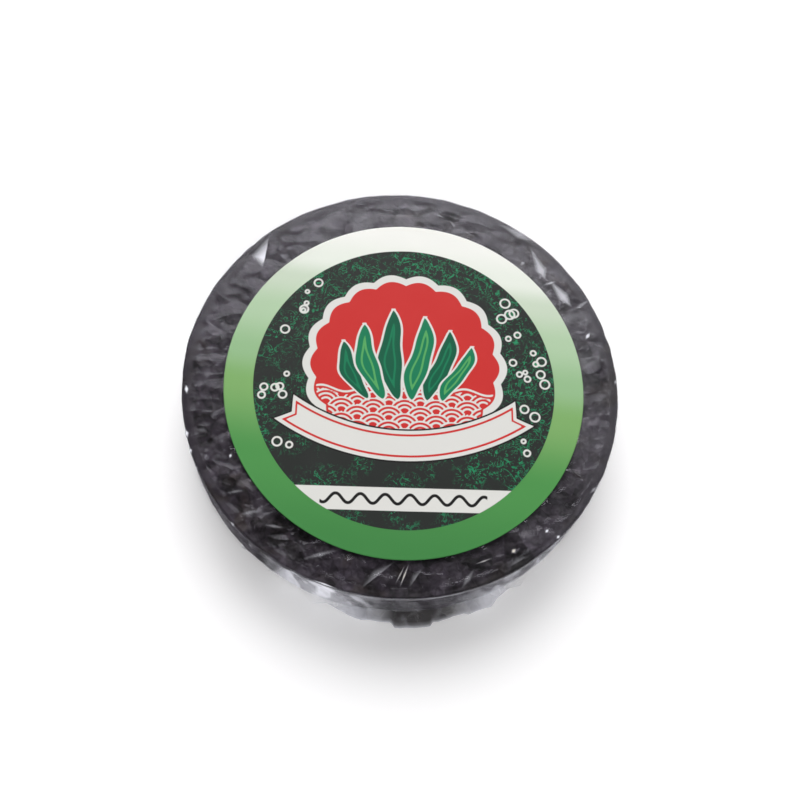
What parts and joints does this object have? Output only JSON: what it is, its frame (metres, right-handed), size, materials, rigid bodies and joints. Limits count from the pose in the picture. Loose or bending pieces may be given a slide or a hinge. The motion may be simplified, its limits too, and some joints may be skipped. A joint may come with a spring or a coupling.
{
  "type": "packaged laver cake",
  "caption": "Round flat cake of pressed, dried purple laver, sealed in clear shrink film with a round printed label on its face.",
  "frame": {"origin": "middle of the pack's box, on the flat of its back, where it rests", "axes": "+Z out of the labelled face, +Y towards the top of the label, +X to its right"},
  "size_m": [0.1854, 0.1944, 0.029],
  "materials": {
    "dried_laver": "matte, slightly glossy on the folds",
    "clear_film": "clear, glossy, wrinkled",
    "printed_paper": "printed, satin"
  },
  "bodies": {
    "root": {"laver_cake": "dried_laver", "film_wrap": "clear_film", "label": "printed_paper"}
  },
  "joints": []
}
